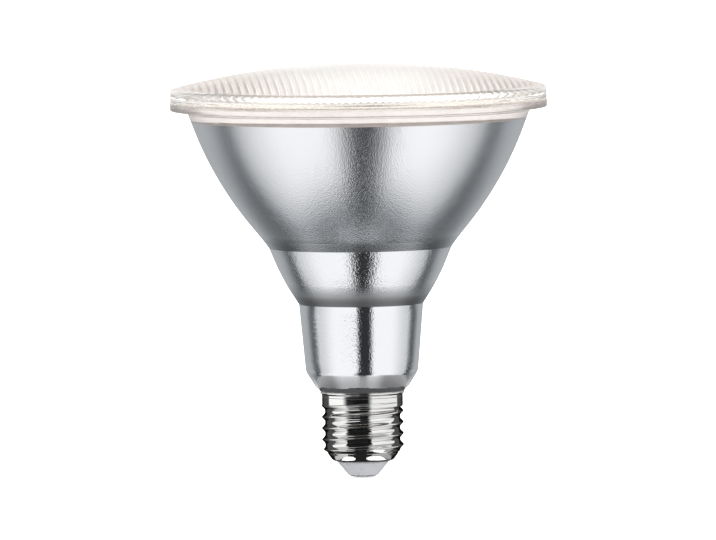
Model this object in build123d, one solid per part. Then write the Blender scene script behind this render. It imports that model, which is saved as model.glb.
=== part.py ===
from build123d import *
import math
import os

# PAR38 reflector lamp with an E27 screw cap. Millimetres, +Z along the lamp axis from the
# cap to the lens, origin at the middle of the contact button's lower face.

# ---------------------------------------------------------------- driving dimensions
# lens
LENS_R = 60.4            # outer radius of the lens rim
LENS_APEX_Z = 132.6      # top of the dome
DOME_R = 239.0           # radius of the outer dome
LENS_FOOT_Z = 120.9      # underside of the lens rim
LENS_EDGE_R = 1.9        # rounding of that corner
LENS_T = 3.2             # glass thickness over the flutes
FLUTE_ZONE_R = 53.0      # radius of the fluted zone
FLUTE_PITCH = 2.25       # spacing of the flutes
FLUTE_DEPTH = 0.42       # depth of the flutes
FLUTE_TURN = 4.2         # direction of the flutes, degrees about +Z from -Y

# reflector body, outer profile as (radius, height) with the rounding at each corner
BODY_T = 2.5             # wall thickness of the pressed glass
FLANGE_R = 60.5
FLANGE_Z0 = 118.1        # underside of the flange at its edge
FLANGE_Z1 = 120.5        # top of the flange
NECK_TUBE_R = 12.2       # glass tube inside the cap
NECK_TUBE_Z = 22.8
BODY_OUT = [
    ((NECK_TUBE_R, NECK_TUBE_Z), 0),
    ((NECK_TUBE_R, 26.75), 0.3),
    ((13.3, 27.15), 0.3),
    ((18.0, 33.25), 6.0),
    ((19.95, 54.9), 0.8),
    ((26.2, 65.6), 78.0),
    ((29.25, 73.3), 0.6),
    ((46.55, 95.2), 134.0),
    ((55.35, 117.75), 0.9),
    ((FLANGE_R, FLANGE_Z0), 0.5),
    ((FLANGE_R, FLANGE_Z1), 0.35),
]

# seal
SEAL_R0, SEAL_R1 = 54.4, 59.7

# screw shell (E27)
PITCH = 3.629
CREST_R = 13.05
ROOT_R = 12.05
SHEET_T = 0.32
COLLAR_R = 13.10
COLLAR_Z0, COLLAR_Z1 = 22.5, 26.45
CREST_Z_AT_X = 10.1      # height of one crest on the +X side

# insulator and contact
INS_R0, INS_R1 = 4.85, 7.9
INS_Z1 = 4.55
CONTACT_R = 4.4
CONTACT_T = 0.45
RIVET_R = 1.1

# light source
SPREAD_Z0, SPREAD_Z1 = 75.2, 77.2
PAD_T = 0.3
BOARD_R = 20.0
BOARD_T = 1.5
LED_W, LED_H = 3.0, 0.75

# driver
PCB_T = 1.6


# ---------------------------------------------------------------- helpers
def spin(points):
    """Solid of revolution about Z from a closed list of (r, z) corners."""
    return revolve(make_face(Plane.XZ * Polyline(*points, close=True)), Axis.Z)


def offset_corners(corners, t):
    """Corners of the same line moved inward by t, with the roundings that keep it parallel."""
    def shifted(a, b):
        dr, dz = b[0] - a[0], b[1] - a[1]
        n = math.hypot(dr, dz)
        return (a[0] - t * dz / n, a[1] + t * dr / n), (dr / n, dz / n)

    out = []
    for i in range(1, len(corners) - 1):
        (p0, _), (p1, rad), (p2, _) = corners[i - 1], corners[i], corners[i + 1]
        a, da = shifted(p0, p1)
        b, db = shifted(p1, p2)
        cross = da[0] * db[1] - da[1] * db[0]
        u = ((b[0] - a[0]) * db[1] - (b[1] - a[1]) * db[0]) / cross
        q = (a[0] + da[0] * u, a[1] + da[1] * u)
        new = rad - t if cross > 0 else rad + t
        out.append((q, max(new, 0.3)))
    return out


def tube(points, radii, r):
    """Round wire along straight runs joined by arcs."""
    path = FilletPolyline(*points, radius=radii)
    start = Plane(origin=path @ 0, z_dir=path % 0)
    return sweep(start * Circle(r), path=path)


def polar_spots(n, radius, turn=0.0):
    return [(radius * math.cos(math.radians(turn + 360.0 * i / n)),
             radius * math.sin(math.radians(turn + 360.0 * i / n))) for i in range(n)]


nodes = {}

# ---------------------------------------------------------------- lens
dome_c = LENS_APEX_Z - DOME_R
# rim corner: a rounding between the dome and the wall
# the rounding touches the dome from inside, so the dome's end point lies on the line of centres
k = DOME_R - LENS_EDGE_R
wall_z = dome_c + math.sqrt(k ** 2 - (LENS_R - LENS_EDGE_R) ** 2)
wall_c = (LENS_R - LENS_EDGE_R, wall_z)
tilt = math.asin(wall_c[0] / k)
edge = (DOME_R * math.sin(tilt), dome_c + DOME_R * math.cos(tilt))
mid45 = (wall_c[0] + LENS_EDGE_R * math.sin((tilt + math.pi / 2) / 2),
         wall_c[1] + LENS_EDGE_R * math.cos((tilt + math.pi / 2) / 2))
half = (DOME_R * math.sin(tilt / 2), dome_c + DOME_R * math.cos(tilt / 2))
in_R = DOME_R - LENS_T
skirt_r = FLUTE_ZONE_R + 0.9
foot_in = (skirt_r + 0.5, LENS_FOOT_Z)
skirt_top = (skirt_r, dome_c + math.sqrt(in_R ** 2 - skirt_r ** 2))
blank = make_face([Plane.XZ * e for e in (
    Line((0, LENS_FOOT_Z), (0, LENS_APEX_Z)),
    ThreePointArc((0, LENS_APEX_Z), half, edge),
    ThreePointArc(edge, mid45, (LENS_R, wall_z)),
    Line((LENS_R, wall_z), (LENS_R, LENS_FOOT_Z + 0.35)),
    Line((LENS_R, LENS_FOOT_Z + 0.35), (LENS_R - 0.35, LENS_FOOT_Z)),
    Line((LENS_R - 0.35, LENS_FOOT_Z), (0, LENS_FOOT_Z)),
)])
blank = revolve(blank, Axis.Z)
# hollow under the lens: plain annulus outside the fluted zone
hollow = make_face([Plane.XZ * e for e in (
    Line((0, LENS_FOOT_Z - 2), (0, dome_c + in_R)),
    ThreePointArc((0, dome_c + in_R),
                  (in_R * math.sin(tilt / 2), dome_c + in_R * math.cos(tilt / 2)), skirt_top),
    Line(skirt_top, foot_in),
    Line(foot_in, (foot_in[0], LENS_FOOT_Z - 2)),
    Line((foot_in[0], LENS_FOOT_Z - 2), (0, LENS_FOOT_Z - 2)),
)])
hollow = revolve(hollow, Axis.Z)
# flutes: a scalloped strip turned about a level axis below the lens, kept inside the zone
n_half = int(FLUTE_ZONE_R / FLUTE_PITCH) + 2
strip = []
for i in range(-n_half, n_half):
    x0, x1 = i * FLUTE_PITCH, (i + 1) * FLUTE_PITCH
    xm = (x0 + x1) / 2

    def level(x):
        return math.sqrt(in_R ** 2 - x * x)
    strip.append(ThreePointArc((x0, level(x0)), (xm, level(xm) + FLUTE_DEPTH), (x1, level(x1))))
xa, xb = -n_half * FLUTE_PITCH, n_half * FLUTE_PITCH
low = in_R - 16.0
strip += [Line((xb, level(xb)), (xb, low)), Line((xb, low), (xa, low)), Line((xa, low), (xa, level(xa)))]
scallop = make_face([Plane.XZ * e for e in strip])
sector = revolve(scallop.rotate(Axis.X, -16), Axis.X, 32)
sector = sector.moved(Location((0, 0, dome_c)))
zone = Cylinder(FLUTE_ZONE_R, 30, align=(Align.CENTER, Align.CENTER, Align.MIN)).moved(
    Location((0, 0, LENS_FOOT_Z - 1)))
flutes = (sector & zone).rotate(Axis.Z, FLUTE_TURN)
nodes["lens"] = blank - hollow - flutes

# ---------------------------------------------------------------- reflector body
inner = offset_corners(BODY_OUT, BODY_T)
tube_in = NECK_TUBE_R - 1.9
# the bowl's inner line ends on the flange top
top_in = inner[7][0]
slope = (top_in[0] - inner[6][0][0]) / (top_in[1] - inner[6][0][1])
inner_end = (inner[6][0][0] + slope * (FLANGE_Z1 - inner[6][0][1]), FLANGE_Z1)
inner_pts = [((tube_in, NECK_TUBE_Z), 0), ((tube_in, 28.6), 1.5)] + inner[2:7] + [(inner_end, 0)]
out_line = FilletPolyline(*[p for p, _ in BODY_OUT], (FLANGE_R - 3, FLANGE_Z1),
                          radius=[r for _, r in BODY_OUT[1:]])
in_line = FilletPolyline(*[p for p, _ in inner_pts], radius=[r for _, r in inner_pts[1:-1]])
body_face = make_face([Plane.XZ * e for e in (
    out_line,
    Line((FLANGE_R - 3, FLANGE_Z1), inner_end),
    in_line,
    Line((tube_in, NECK_TUBE_Z), (NECK_TUBE_R, NECK_TUBE_Z)),
)])
nodes["reflector_body"] = revolve(body_face, Axis.Z)

# ---------------------------------------------------------------- seal
nodes["rim_seal"] = spin([(SEAL_R0, FLANGE_Z1), (SEAL_R1, FLANGE_Z1),
                          (SEAL_R1 + 0.12, (FLANGE_Z1 + LENS_FOOT_Z) / 2), (SEAL_R1, LENS_FOOT_Z),
                          (SEAL_R0, LENS_FOOT_Z), (SEAL_R0 - 0.12, (FLANGE_Z1 + LENS_FOOT_Z) / 2)])


# ---------------------------------------------------------------- screw shell
def knuckle(root, crest, half_w, turns, z0):
    """Rounded ridge of the rolled thread along a right-hand helix."""
    h = crest - root
    foot = root - 0.12
    back = Polyline((foot, half_w), (foot - 0.25, half_w), (foot - 0.25, -half_w), (foot, -half_w))
    crown = Spline((foot, -half_w), (root + 0.24 * h, -half_w * 0.68), (root + 0.80 * h, -half_w * 0.28),
                   (crest, 0), (root + 0.80 * h, half_w * 0.28), (root + 0.24 * h, half_w * 0.68),
                   (foot, half_w))
    sec = make_face([Plane.XZ * back, Plane.XZ * crown])
    ridge = sweep(sec, path=Helix(pitch=PITCH, height=PITCH * turns, radius=root), is_frenet=True)
    return ridge.moved(Location((0, 0, z0)))


THREAD_TURNS = 5.2
THREAD_Z0 = CREST_Z_AT_X - PITCH
shell_out = [((8.75, 4.75), 0), ((9.35, 4.95), 0.4), ((12.05, 7.75), 2.2), ((ROOT_R, 22.15), 0.35),
             ((COLLAR_R, COLLAR_Z0 + 0.05), 0.3), ((COLLAR_R, COLLAR_Z1), 0.25),
             ((COLLAR_R + 0.28, COLLAR_Z1 + 0.55), 0)]
out_l = FilletPolyline(*[p for p, _ in shell_out], radius=[r for _, r in shell_out[1:-1]])
outer_core = make_face([Plane.XZ * out_l, Plane.XZ * Polyline(shell_out[-1][0], (0, COLLAR_Z1 + 0.55), (0, 4.75), (8.75, 4.75))])
outer_core = revolve(outer_core, Axis.Z)
limit_out = spin([(0, 6.2), (11.2, 6.2), (13.5, 9.4), (13.5, 24.0), (0, 24.0)])
ridge_out = knuckle(ROOT_R, CREST_R, 1.72, THREAD_TURNS, THREAD_Z0) & limit_out
outer_shell = outer_core + ridge_out
# the inside follows the outside one sheet thickness in: threaded part, rounded foot, collar
root_in = ROOT_R - SHEET_T
rod = Cylinder(root_in, 21.8, align=(Align.CENTER, Align.CENTER, Align.MIN)).moved(Location((0, 0, 8.2)))
rod += knuckle(root_in, CREST_R - SHEET_T, 1.50, 3.3, CREST_Z_AT_X)
foot_in_line = FilletPolyline((8.75, 4.4), (8.75, 5.06), (9.22, 5.22), (11.5, 7.6), (11.5, 9.0),
                              radius=[0.05, 0.2, 1.5])
foot_hollow = revolve(make_face([Plane.XZ * foot_in_line,
                                 Plane.XZ * Polyline((11.5, 9.0), (0, 9.0), (0, 4.4), (8.75, 4.4))]), Axis.Z)
COLLAR_IN = COLLAR_R - SHEET_T
collar_hollow = spin([(0, 22.2), (11.4, 22.2), (COLLAR_IN, 22.62), (COLLAR_IN, COLLAR_Z1),
                      (COLLAR_IN + 0.28, COLLAR_Z1 + 0.55), (COLLAR_IN + 0.28, 28), (0, 28)])
nodes["screw_shell"] = outer_shell - rod - foot_hollow - collar_hollow

# ---------------------------------------------------------------- insulator and contact
ins = spin([(RIVET_R + 0.05, CONTACT_T), (INS_R0, CONTACT_T), (INS_R1, INS_Z1 - 0.5), (INS_R1 + 0.25, INS_Z1),
            (8.68, INS_Z1 + 0.12), (8.68, 5.09), (9.16, 5.26), (9.9, 6.05), (9.9, 8.2), (7.2, 8.2), (7.2, 5.9),
            (3.2, 5.9), (2.6, 4.0), (RIVET_R + 0.05, 4.0)])
nodes["cap_insulator"] = ins
contact = make_face([Plane.XZ * e for e in (
    Line((0, 0), (CONTACT_R - 0.9, 0)),
    ThreePointArc((CONTACT_R - 0.9, 0), (CONTACT_R - 0.3, 0.12), (CONTACT_R, CONTACT_T)),
    Polyline((CONTACT_R, CONTACT_T), (RIVET_R, CONTACT_T), (RIVET_R, 4.0), (2.2, 4.05), (1.7, 4.9), (0, 5.1), (0, 0)),
)])
nodes["centre_contact"] = revolve(contact, Axis.Z)

# ---------------------------------------------------------------- cement
nodes["cap_cement"] = spin([(NECK_TUBE_R, COLLAR_Z0 + 0.6), (COLLAR_R - SHEET_T, COLLAR_Z0 + 0.6),
                            (COLLAR_R - SHEET_T, 26.0), (NECK_TUBE_R, 26.0)])

# ---------------------------------------------------------------- light source
# the spreader lies parallel to the glass in the waist, on a thin bond line
BOND = 0.2
Z_SKIRT = 60.0
SKIRT_T = 1.5
near = offset_corners(BODY_OUT, BODY_T + BOND)


def on_line(p, q, z):
    f = (z - p[1]) / (q[1] - p[1])
    return (p[0] + f * (q[0] - p[0]), z)


skirt_lo = on_line(near[3][0], near[4][0], Z_SKIRT)
plate_hi = on_line(near[5][0], near[6][0], SPREAD_Z1)
skirt_line = FilletPolyline(skirt_lo, near[4][0], near[5][0], plate_hi, radius=[near[4][1], near[5][1]])
spread = make_face([Plane.XZ * skirt_line, Plane.XZ * Polyline(
    plate_hi, (0, SPREAD_Z1), (0, SPREAD_Z0), (near[5][0][0] - 3.6, SPREAD_Z0),
    (near[5][0][0] - 2.6, SPREAD_Z0 - 2.4), (skirt_lo[0] - SKIRT_T, Z_SKIRT), skirt_lo)])
spread = revolve(spread, Axis.Z)
LEAD_SPOTS = [(-3.2, -15.5), (3.2, -15.5)]
SCREW_SPOTS = [(-16.0, 0.0), (16.0, 0.0)]
SCREW_R = 1.25
pad_z = SPREAD_Z1
board_z = pad_z + PAD_T
board_top = board_z + BOARD_T
hole_cut = [Cylinder(1.3, 30).moved(Location((x, y, 76))) for x, y in LEAD_SPOTS]
screw_cut = [Cylinder(SCREW_R + 0.1, 30).moved(Location((x, y, 76))) for x, y in SCREW_SPOTS]
for c in hole_cut + screw_cut:
    spread -= c
nodes["heat_spreader"] = spread
pad = Cylinder(BOARD_R - 0.5, PAD_T, align=(Align.CENTER, Align.CENTER, Align.MIN)).moved(Location((0, 0, pad_z)))
board = Cylinder(BOARD_R, BOARD_T, align=(Align.CENTER, Align.CENTER, Align.MIN)).moved(Location((0, 0, board_z)))
for c in hole_cut + screw_cut:
    pad -= c
    board -= c
nodes["thermal_pad"] = pad
nodes["led_board"] = board

led_spots = polar_spots(9, 11.0, 10.0) + polar_spots(3, 4.2, 30.0)
led_solids = []
for x, y in led_spots:
    pkg = Box(LED_W, LED_W, LED_H, align=(Align.CENTER, Align.CENTER, Align.MIN))
    pkg = chamfer(pkg.edges().filter_by(Axis.Z), 0.3)
    pkg -= Cylinder(1.15, 0.3, align=(Align.CENTER, Align.CENTER, Align.MIN)).moved(Location((0, 0, LED_H - 0.12)))
    ang = math.degrees(math.atan2(y, x))
    led_solids.append(pkg.rotate(Axis.Z, ang).moved(Location((x, y, board_top))))
nodes["led_packages"] = Compound(children=[s.solids()[0] for s in led_solids])

screws = []
for x, y in SCREW_SPOTS:
    head = Cylinder(2.2, 1.3, align=(Align.CENTER, Align.CENTER, Align.MIN))
    head = fillet(head.edges().group_by(Axis.Z)[-1], 0.6)
    slot_a = Box(2.6, 0.6, 0.7, align=(Align.CENTER, Align.CENTER, Align.MIN)).moved(Location((0, 0, 0.75)))
    head = head - slot_a - slot_a.rotate(Axis.Z, 90)
    shank = Cylinder(SCREW_R, 5.6, align=(Align.CENTER, Align.CENTER, Align.MAX))
    screws.append((head + shank).moved(Location((x, y, board_top))))
nodes["board_screws"] = Compound(children=[s.solids()[0] for s in screws])

conn = Box(9.4, 4.2, 2.6, align=(Align.CENTER, Align.CENTER, Align.MIN)).moved(Location((0, -12.2 - 3.4, board_top)))
for x, y in LEAD_SPOTS:
    conn -= Cylinder(1.0, 8, align=(Align.CENTER, Align.CENTER, Align.MIN)).moved(Location((x, y, board_top - 1)))
conn = chamfer(conn.edges().filter_by(Axis.Z).group_by(SortBy.LENGTH)[-1], 0.35)
nodes["board_connector"] = conn

# ---------------------------------------------------------------- driver
pcb = make_face(Plane.XZ * Polyline((-9.3, 12.0), (9.3, 12.0), (9.3, 30.6), (13.2, 34.5), (13.2, 57.0),
                                    (-13.2, 57.0), (-13.2, 34.5), (-9.3, 30.6), close=True))
pcb = extrude(pcb, PCB_T / 2, both=True)
nodes["driver_board"] = pcb
face_p = PCB_T / 2


def lying_can(r, length, x, z, side):
    c = Cylinder(r, length, align=(Align.CENTER, Align.CENTER, Align.MIN))
    c = fillet(c.edges(), 0.5)
    groove = Cylinder(r + 1, 0.8) - Cylinder(r - 0.35, 0.8)
    c -= groove.moved(Location((0, 0, 2.2)))
    return c.moved(Location((x, side * (face_p + r), z)))


nodes["output_capacitor"] = lying_can(4.8, 15.0, 4.6, 38.5, 1)
film = Box(5.2, 6.0, 10.5).moved(Location((-6.2, face_p + 3.0, 46.0)))
nodes["input_capacitor"] = fillet(film.edges().filter_by(Axis.Z), 0.6)

wind = Cylinder(4.6, 7.6).rotate(Axis.Y, 90).moved(Location((0, -face_p - 6.6, 45.0)))
wind -= Cylinder(2.25, 9.0).rotate(Axis.Y, 90).moved(Location((0, -face_p - 6.6, 45.0)))
ends = Box(0.9, 11.0, 11.0)
hole = Cylinder(2.25, 3.0).rotate(Axis.Y, 90)
for sx in (-1, 1):
    wind += (ends - hole).moved(Location((sx * 4.25, -face_p - 6.6, 45.0)))
nodes["transformer_winding"] = wind
core = Cylinder(2.15, 9.4).rotate(Axis.Y, 90).moved(Location((0, -face_p - 6.6, 45.0)))
for sx in (-1, 1):
    core += Box(2.2, 6.0, 13.4).moved(Location((sx * 5.8, -face_p - 6.6, 45.0)))
for sz in (-1, 1):
    core += Box(13.8, 6.0, 1.1).moved(Location((0, -face_p - 6.6, 45.0 + sz * 6.15)))
nodes["transformer_core"] = core


def legged(w, d, h, n_legs, step, x, z, side):
    """Flat package on the board with a row of legs on each long edge."""
    b = Box(w, h, d)
    b = chamfer(b.edges().filter_by(Axis.Z), 0.25)
    b = b.moved(Location((0, h / 2 + 0.15, 0)))
    for s in (-1, 1):
        for i in range(n_legs):
            lx = (i - (n_legs - 1) / 2) * step
            leg = Box(0.45, 0.5, 0.9).moved(Location((lx, 0.25 + 0.15, s * (d / 2 + 0.25))))
            toe = Box(0.45, 0.3, 0.7).moved(Location((lx, 0.15, s * (d / 2 + 0.8))))
            b = b + leg + toe
    if side < 0:
        b = b.rotate(Axis.Z, 180)
    return b.moved(Location((x, side * face_p, z)))


nodes["bridge_rectifier"] = legged(4.7, 3.9, 2.2, 2, 2.54, -3.8, 27.0, -1)
nodes["driver_chip"] = legged(4.9, 3.9, 1.5, 4, 1.27, 4.6, 32.5, -1)
chips = []
for x, z in ((-8.2, 36.0), (-10.8, 38.0), (9.0, 38.2), (10.8, 52.0), (-10.5, 54.2)):
    r = Box(1.3, 0.55, 2.1).moved(Location((x, -face_p - 0.275, z)))
    chips.append(r.solids()[0])
nodes["chip_resistors"] = Compound(children=chips)

fuse = Cylinder(1.7, 7.2).moved(Location((3.6, face_p + 2.2, 20.0)))
fuse = fillet(fuse.edges(), 0.7)
fuse += Cylinder(0.35, 2.4, align=(Align.CENTER, Align.CENTER, Align.MIN)).moved(Location((3.6, face_p + 2.2, 23.4)))
fuse += Box(0.7, 2.55, 0.7, align=(Align.CENTER, Align.MIN, Align.CENTER)).moved(Location((3.6, face_p, 25.5)))
nodes["fuse_resistor"] = fuse

WIRE_R = 0.55
nodes["live_lead"] = tube([(3.6, face_p + 2.2, 16.4), (3.6, face_p + 2.2, 11.6), (0, 0, 8.8), (0, 0, 5.1)],
                          [1.8, 1.8], WIRE_R)
nodes["neutral_lead"] = tube([(-7.4, face_p, 16.0), (-7.4, face_p + 3.2, 16.0), (-7.4, face_p + 6.2, 18.6)],
                             [1.4], WIRE_R)
for name, (x, y) in (("led_lead_positive", LEAD_SPOTS[0]), ("led_lead_negative", LEAD_SPOTS[1])):
    nodes[name] = tube([(x, -face_p, 54.6), (x, -face_p - 4.0, 54.6), (x, -face_p - 9.2, 60.0), (x, y, 68.0),
                        (x, y, board_top + 2.2)], [2.6, 4.5, 4.5], WIRE_R)

# ---------------------------------------------------------------- write the pieces
os.makedirs("parts", exist_ok=True)
for name, shape in nodes.items():
    export_step(shape, f"parts/{name}.step")
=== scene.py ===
import math

import bmesh
import bpy
import numpy as np
from mathutils import Matrix, Vector


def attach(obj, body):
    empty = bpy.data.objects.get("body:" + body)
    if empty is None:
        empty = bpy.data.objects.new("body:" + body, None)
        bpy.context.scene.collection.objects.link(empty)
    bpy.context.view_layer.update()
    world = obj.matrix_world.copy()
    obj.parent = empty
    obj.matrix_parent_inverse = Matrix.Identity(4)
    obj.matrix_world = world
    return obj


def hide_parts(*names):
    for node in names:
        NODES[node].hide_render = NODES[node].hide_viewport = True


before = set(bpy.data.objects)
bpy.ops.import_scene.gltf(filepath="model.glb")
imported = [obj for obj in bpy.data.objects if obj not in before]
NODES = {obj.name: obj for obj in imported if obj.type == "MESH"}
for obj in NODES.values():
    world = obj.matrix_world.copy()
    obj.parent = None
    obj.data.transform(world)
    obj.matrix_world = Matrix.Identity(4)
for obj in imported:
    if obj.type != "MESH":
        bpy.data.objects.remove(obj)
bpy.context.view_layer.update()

# Reflector lamp with a fluted front lens and a screw cap. The lists of corners below are in
# millimetres, as (radius, height, rounding); the meshes are in metres.
scene = bpy.context.scene
MM = 0.001

# ------------------------------------------------------------------------------ camera
PX = 0.32053 * MM                 # one pixel of a 716 x 540 frame at the lamp's axis
DIST = 3.8
ELEV = math.radians(3.5)
ROLL = math.radians(0.76)
cam_data = bpy.data.cameras.new("camera")
cam = bpy.data.objects.new("camera", cam_data)
scene.collection.objects.link(cam)
cam_data.sensor_width = 36.0
cam_data.lens = 36.0 * DIST / (716 * PX)
cam_data.clip_start = 0.05
cam_data.clip_end = 60.0
target = Vector((-2.7 * PX, 0.0, 0.0662))
back = Vector((0.0, -math.cos(ELEV), math.sin(ELEV)))
look = (-back).to_track_quat("-Z", "Y").to_matrix().to_4x4()
cam.matrix_world = Matrix.Translation(target + back * DIST) @ look @ Matrix.Rotation(-ROLL, 4, "Z")
scene.camera = cam


# ------------------------------------------------------------------------------ node helpers
class Tree:
    """Short calls for wiring a node tree."""

    def __init__(self, tree):
        self.t = tree

    def node(self, kind, **props):
        n = self.t.nodes.new(kind)
        for k, v in props.items():
            setattr(n, k, v)
        return n

    def put(self, socket, value):
        if isinstance(value, bpy.types.NodeSocket):
            self.t.links.new(value, socket)
        elif value is not None:
            socket.default_value = value

    def math(self, op, a, b=None, c=None, clamp=False):
        n = self.node("ShaderNodeMath", operation=op, use_clamp=clamp)
        for i, v in enumerate((a, b, c)):
            self.put(n.inputs[i], v)
        return n.outputs[0]

    def ramp(self, x, a, b, lo=0.0, hi=1.0, kind="SMOOTHSTEP"):
        n = self.node("ShaderNodeMapRange", interpolation_type=kind)
        for i, v in enumerate((x, a, b, lo, hi)):
            self.put(n.inputs[i], v)
        return n.outputs[0]

    def mix(self, f, a, b):
        """Number a where f is 0, b where f is 1."""
        n = self.node("ShaderNodeMix", data_type="FLOAT")
        self.put(n.inputs[0], f)
        self.put(n.inputs[2], a)
        self.put(n.inputs[3], b)
        return n.outputs[0]

    def mix_colour(self, f, a, b, blend="MIX"):
        n = self.node("ShaderNodeMix", data_type="RGBA", blend_type=blend)
        self.put(n.inputs[0], f)
        self.put(n.inputs[6], a)
        self.put(n.inputs[7], b)
        return n.outputs[2]

    def coords(self):
        return self.node("ShaderNodeTexCoord").outputs["Object"]

    def scaled(self, vec, s):
        n = self.node("ShaderNodeMapping")
        self.put(n.inputs["Vector"], vec)
        n.inputs["Scale"].default_value = s
        return n.outputs[0]

    def noise(self, vec, scale, detail=2.0, rough=0.5, distortion=0.0):
        n = self.node("ShaderNodeTexNoise")
        self.put(n.inputs["Vector"], vec)
        n.inputs["Scale"].default_value = scale
        n.inputs["Detail"].default_value = detail
        n.inputs["Roughness"].default_value = rough
        n.inputs["Distortion"].default_value = distortion
        return n.outputs["Fac"]

    def voronoi(self, vec, scale, feature="SMOOTH_F1"):
        n = self.node("ShaderNodeTexVoronoi", feature=feature)
        self.put(n.inputs["Vector"], vec)
        n.inputs["Scale"].default_value = scale
        return n.outputs["Distance"]

    def bump(self, height, distance, strength=1.0, normal=None):
        n = self.node("ShaderNodeBump")
        n.inputs["Strength"].default_value = strength
        n.inputs["Distance"].default_value = distance
        self.put(n.inputs["Height"], height)
        if normal is not None:
            self.put(n.inputs["Normal"], normal)
        return n.outputs[0]

    def colours(self, f, stops):
        n = self.node("ShaderNodeValToRGB")
        e = n.color_ramp.elements
        while len(e) < len(stops):
            e.new(0.5)
        for i, (pos, col) in enumerate(stops):
            e[i].position = pos
            e[i].color = (*col, 1.0)
        self.put(n.inputs[0], f)
        return n.outputs[0]


def material(name, **values):
    """A material with one Principled shader; values are its sockets."""
    m = bpy.data.materials.new(name)
    m.use_nodes = True
    t = Tree(m.node_tree)
    b = m.node_tree.nodes["Principled BSDF"]
    for k, v in values.items():
        key = k.replace("_", " ").title()
        key = key.replace("Ior", "IOR")
        sock = b.inputs[key]
        sock.default_value = (*v, 1.0) if sock.type == "RGBA" else v
    return m, t, b


def grained(name, dark, light, rough, scale, bump=0.0, detail=3.0, rough_var=0.06, **values):
    """A material whose colour drifts between two tones, with matching roughness and relief."""
    m, t, b = material(name, **values)
    v = t.coords()
    n = t.noise(v, scale, detail)
    t.put(b.inputs["Base Color"], t.colours(n, [(0.3, dark), (0.7, light)]))
    t.put(b.inputs["Roughness"], t.ramp(n, 0.25, 0.75, rough - rough_var, rough + rough_var, "LINEAR"))
    if bump:
        t.put(b.inputs["Normal"], t.bump(t.noise(v, scale * 2.3, 4.0), bump))
    return m


# ------------------------------------------------------------------------------ shape helpers
def rounded(corners, turn=6.0, step=1.6, run=4.0):
    """Points along a line of (r, z, rounding) corners."""
    p = [np.array(c[:2], float) for c in corners]
    pts = [p[0]]
    for i in range(1, len(p) - 1):
        rad = corners[i][2]
        if rad <= 0:
            pts.append(p[i])
            continue
        d1, d2 = p[i - 1] - p[i], p[i + 1] - p[i]
        d1, d2 = d1 / np.linalg.norm(d1), d2 / np.linalg.norm(d2)
        half = math.acos(float(np.clip(d1 @ d2, -1, 1))) / 2
        t = rad / math.tan(half)
        mid = d1 + d2
        c = p[i] + mid / np.linalg.norm(mid) * rad / math.sin(half)
        a, b = p[i] + d1 * t - c, p[i] + d2 * t - c
        sweep = math.pi - 2 * half
        n = max(2, math.ceil(math.degrees(sweep) / turn), math.ceil(rad * sweep / step))
        for k in range(n + 1):
            f = k / n
            pts.append(c + (a * math.sin((1 - f) * sweep) + b * math.sin(f * sweep)) / math.sin(sweep))
    pts.append(p[-1])
    out = [pts[0]]
    for q in pts[1:]:
        gap = float(np.linalg.norm(q - out[-1]))
        if gap < 1e-4:
            continue
        n = max(1, math.ceil(gap / run))
        a = out[-1]
        out += [a + (q - a) * (k / n) for k in range(1, n + 1)]
    return out


def offset_corners(corners, t):
    """The same line moved inward by t, with the roundings that keep it parallel."""
    def shifted(a, b):
        d = np.array(b[:2]) - np.array(a[:2])
        d = d / np.linalg.norm(d)
        return np.array(a[:2]) + t * np.array((-d[1], d[0])), d

    out = []
    for i in range(1, len(corners) - 1):
        a, da = shifted(corners[i - 1], corners[i])
        b, db = shifted(corners[i], corners[i + 1])
        cross = da[0] * db[1] - da[1] * db[0]
        u = ((b[0] - a[0]) * db[1] - (b[1] - a[1]) * db[0]) / cross
        q = a + da * u
        rad = corners[i][2]
        out.append((q[0], q[1], max(rad - t if cross > 0 else rad + t, 0.3)))
    return out


def cut_at(points, z):
    """The line with one more point where it first crosses height z."""
    for i in range(len(points) - 1):
        a, b = points[i], points[i + 1]
        if (a[1] - z) * (b[1] - z) < 0:
            f = (z - a[1]) / (b[1] - a[1])
            return points[:i + 1] + [a + (b - a) * f] + points[i + 1:]
    return points


def piece(name, verts, faces, mats, ids=None, sharp=38.0):
    """A smooth-shaded mesh object that moves with the lamp."""
    me = bpy.data.meshes.new(name)
    me.from_pydata((np.asarray(verts, float) * MM).tolist(), [], [tuple(int(i) for i in f) for f in faces])
    for m in mats:
        me.materials.append(m)
    if ids is not None:
        me.polygons.foreach_set("material_index", np.asarray(ids, np.int32))
    bm = bmesh.new()
    bm.from_mesh(me)
    bmesh.ops.remove_doubles(bm, verts=bm.verts, dist=1e-8)
    bmesh.ops.recalc_face_normals(bm, faces=bm.faces)
    bm.to_mesh(me)
    bm.free()
    me.shade_smooth()
    me.set_sharp_from_angle(angle=math.radians(sharp))
    ob = bpy.data.objects.new(name, me)
    scene.collection.objects.link(ob)
    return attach(ob, "root")


def spun(points, seg, closed=True, pick=None):
    """Vertices, faces and material numbers of a line of (r, z) points turned about the axis."""
    verts, rings = [], []
    for r, z in points:
        if r < 1e-6:
            rings.append([len(verts)] * seg)
            verts.append((0.0, 0.0, z))
        else:
            rings.append(list(range(len(verts), len(verts) + seg)))
            verts += [(r * math.cos(2 * math.pi * k / seg), r * math.sin(2 * math.pi * k / seg), z)
                      for k in range(seg)]
    faces, ids = [], []
    n = len(points)
    for i in range(n if closed else n - 1):
        a, b = rings[i], rings[(i + 1) % n]
        if a[0] == a[1] and b[0] == b[1]:
            continue
        m = pick(points[i], points[(i + 1) % n], i) if pick else 0
        for k in range(seg):
            k2 = (k + 1) % seg
            f = [a[k], a[k2], b[k2], b[k]]
            f = [v for j, v in enumerate(f) if v not in f[:j]]
            faces.append(f)
            ids.append(m)
    return verts, faces, ids


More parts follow.
